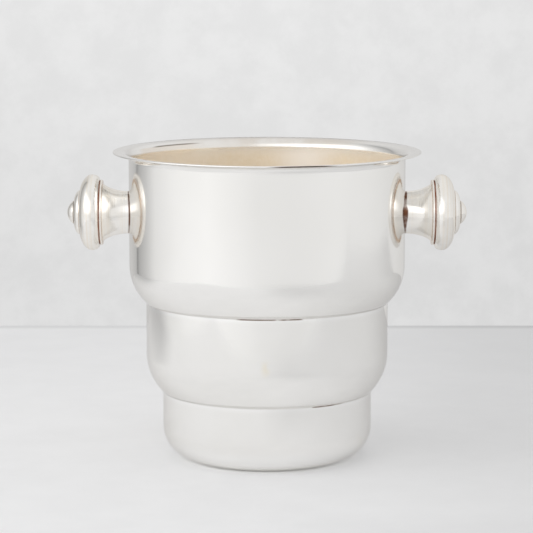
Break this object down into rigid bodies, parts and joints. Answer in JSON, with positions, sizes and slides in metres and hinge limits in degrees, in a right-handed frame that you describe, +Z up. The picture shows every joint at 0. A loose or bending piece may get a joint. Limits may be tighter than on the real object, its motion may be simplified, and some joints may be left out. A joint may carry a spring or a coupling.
{
  "type": "champagne bucket",
  "caption": "Tiered round metal champagne bucket with a flared rim, a rounded base and bolted knob handles, for chilling a bottle in ice.",
  "frame": {"origin": "centre of the base, on the surface that the bucket stands on", "axes": "+Z up along the bucket's axis; the two knobs lie along X; -Y is the front"},
  "size_m": [0.2808, 0.216, 0.217],
  "materials": {
    "body_silver": "hand-polished silver plate, slightly soft, with faint tarnish",
    "knob_silver": "polished silver plate, warmer, with brown tarnish in the grooves",
    "steel": "plain turned steel",
    "fibre": "pressed vulcanised fibre"
  },
  "bodies": {
    "root": {"bucket_body": "body_silver", "left_neck": "knob_silver", "left_bead_ring": "knob_silver", "left_knob_back": "knob_silver", "left_knob_front": "knob_silver", "left_cap_ring": "knob_silver", "left_end_button": "knob_silver", "left_tie_stud": "steel", "left_gasket": "fibre", "left_saddle_washer": "steel", "left_spring_washer": "steel", "left_domed_nut": "knob_silver", "right_neck": "knob_silver", "right_bead_ring": "knob_silver", "right_knob_back": "knob_silver", "right_knob_front": "knob_silver", "right_cap_ring": "knob_silver", "right_end_button": "knob_silver", "right_tie_stud": "steel", "right_gasket": "fibre", "right_saddle_washer": "steel", "right_spring_washer": "steel", "right_domed_nut": "knob_silver"}
  },
  "joints": []
}
